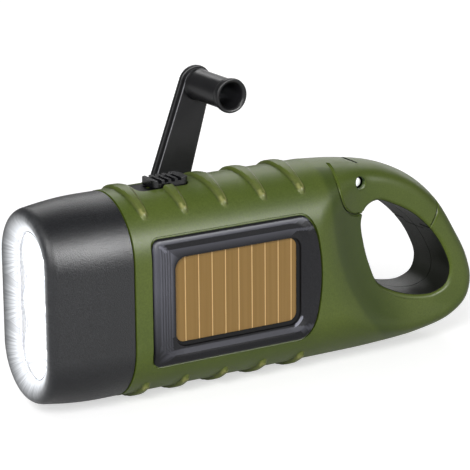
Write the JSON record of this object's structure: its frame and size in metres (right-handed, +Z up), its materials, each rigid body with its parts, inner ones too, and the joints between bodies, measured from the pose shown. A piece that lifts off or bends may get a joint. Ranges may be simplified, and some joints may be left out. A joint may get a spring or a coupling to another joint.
{
  "type": "hand crank flashlight",
  "caption": "Hand torch with a folding crank, a solar panel on its flank, a slide switch, and a carabiner loop with a sprung gate as its handle.",
  "frame": {"origin": "centre of the lens's outer face", "axes": "+X from the lens to the loop's tail, +Z up towards the switch, +Y towards the crank's side"},
  "size_m": [0.141, 0.0383, 0.0834],
  "materials": {
    "green_plastic": "fine grained, semi matte",
    "charcoal_plastic": "fine grained, satin",
    "black_plastic": "satin black",
    "liner_plastic": "matte dark grey",
    "clear_plastic": "clear and polished",
    "reflector_chrome": "vacuum metallised",
    "led_resin": "clear resin, lit white",
    "solar_cell": "amorphous film under clear resin",
    "steel": "plain zinc plated",
    "gear_nylon": "natural white",
    "circuit_board": "green solder mask",
    "copper_wire": "enamelled copper",
    "battery_sleeve": "shrink sleeve"
  },
  "bodies": {
    "housing": {"left_shell": "green_plastic", "right_shell": "green_plastic", "head_bezel": "charcoal_plastic", "solar_frame": "charcoal_plastic", "switch_plate": "black_plastic", "switch_body": "black_plastic", "loop_liner_left": "liner_plastic", "loop_liner_right": "liner_plastic", "front_lens": "clear_plastic", "reflector": "reflector_chrome", "led_top": "led_resin", "led_middle": "led_resin", "led_bottom": "led_resin", "solar_cell": "solar_cell", "idler_shaft": "steel", "stator": "steel", "gate_spring": "steel", "housing_screw_1": "steel", "housing_screw_2": "steel", "housing_screw_3": "steel", "housing_screw_4": "steel", "housing_screw_5": "steel", "board_screw_1": "steel", "board_screw_2": "steel", "board_screw_3": "steel", "board_screw_4": "steel", "plate_screw_1": "steel", "plate_screw_2": "steel", "plate_screw_3": "steel", "plate_screw_4": "steel", "gear_plate": "gear_nylon", "led_board": "circuit_board", "main_board": "circuit_board", "stator_coil_1": "copper_wire", "stator_coil_2": "copper_wire", "stator_coil_3": "copper_wire", "stator_coil_4": "copper_wire", "stator_coil_5": "copper_wire", "stator_coil_6": "copper_wire", "battery_pack": "battery_sleeve"},
    "crank": {"crank_hub": "black_plastic", "hinge_pin": "steel", "crank_gear": "gear_nylon"},
    "arm": {"crank_arm": "black_plastic", "knob_screw": "steel"},
    "knob": {"knob": "black_plastic"},
    "idler": {"idler_gear": "gear_nylon"},
    "rotor": {"rotor_pinion": "gear_nylon", "rotor_shaft": "steel", "rotor_magnet": "steel"},
    "gate": {"gate_left": "green_plastic", "gate_right": "green_plastic", "gate_liner_left": "liner_plastic", "gate_liner_right": "liner_plastic", "gate_pin": "steel"},
    "slider": {"switch_slider": "black_plastic"}
  },
  "joints": [
    {"name": "crank_spin", "type": "hinge", "parent": "housing", "child": "crank", "pos_m": [0.0475, 0.017, 0.0056], "axis": [0, 1, 0], "range_deg": [-66, 31]},
    {"name": "arm_fold", "type": "hinge", "parent": "crank", "child": "arm", "pos_m": [0.0475, 0.0189, 0.0056], "axis": [-0.9511, 0, 0.309], "range_deg": [0, 180]},
    {"name": "knob_spin", "type": "hinge", "parent": "arm", "child": "knob", "pos_m": [0.06165, 0.016, 0.04916], "axis": [0, 1, 0], "continuous": true},
    {"name": "idler_spin", "type": "hinge", "parent": "housing", "child": "idler", "pos_m": [0.06398, 0.005, -0.00594], "axis": [0, 1, 0], "range_deg": [-100, 205]},
    {"name": "rotor_spin", "type": "hinge", "parent": "housing", "child": "rotor", "pos_m": [0.06695, 0.005, 0.01092], "axis": [0, 1, 0], "range_deg": [-480, 230]},
    {"name": "gate_swing", "type": "hinge", "parent": "housing", "child": "gate", "pos_m": [0.0972, 0, 0.0219], "axis": [0, 1, 0], "range_deg": [0, 25], "stiffness_Nm_per_rad": 0.08, "springref_deg": -20.05},
    {"name": "switch_slide", "type": "slide", "parent": "housing", "child": "slider", "axis": [-1, 0, 0], "range_m": [0, 0.0045]}
  ],
  "couplings": [
    {"joint": "idler_spin", "follows": "crank_spin", "ratio": -3},
    {"joint": "rotor_spin", "follows": "crank_spin", "ratio": 7.2}
  ]
}
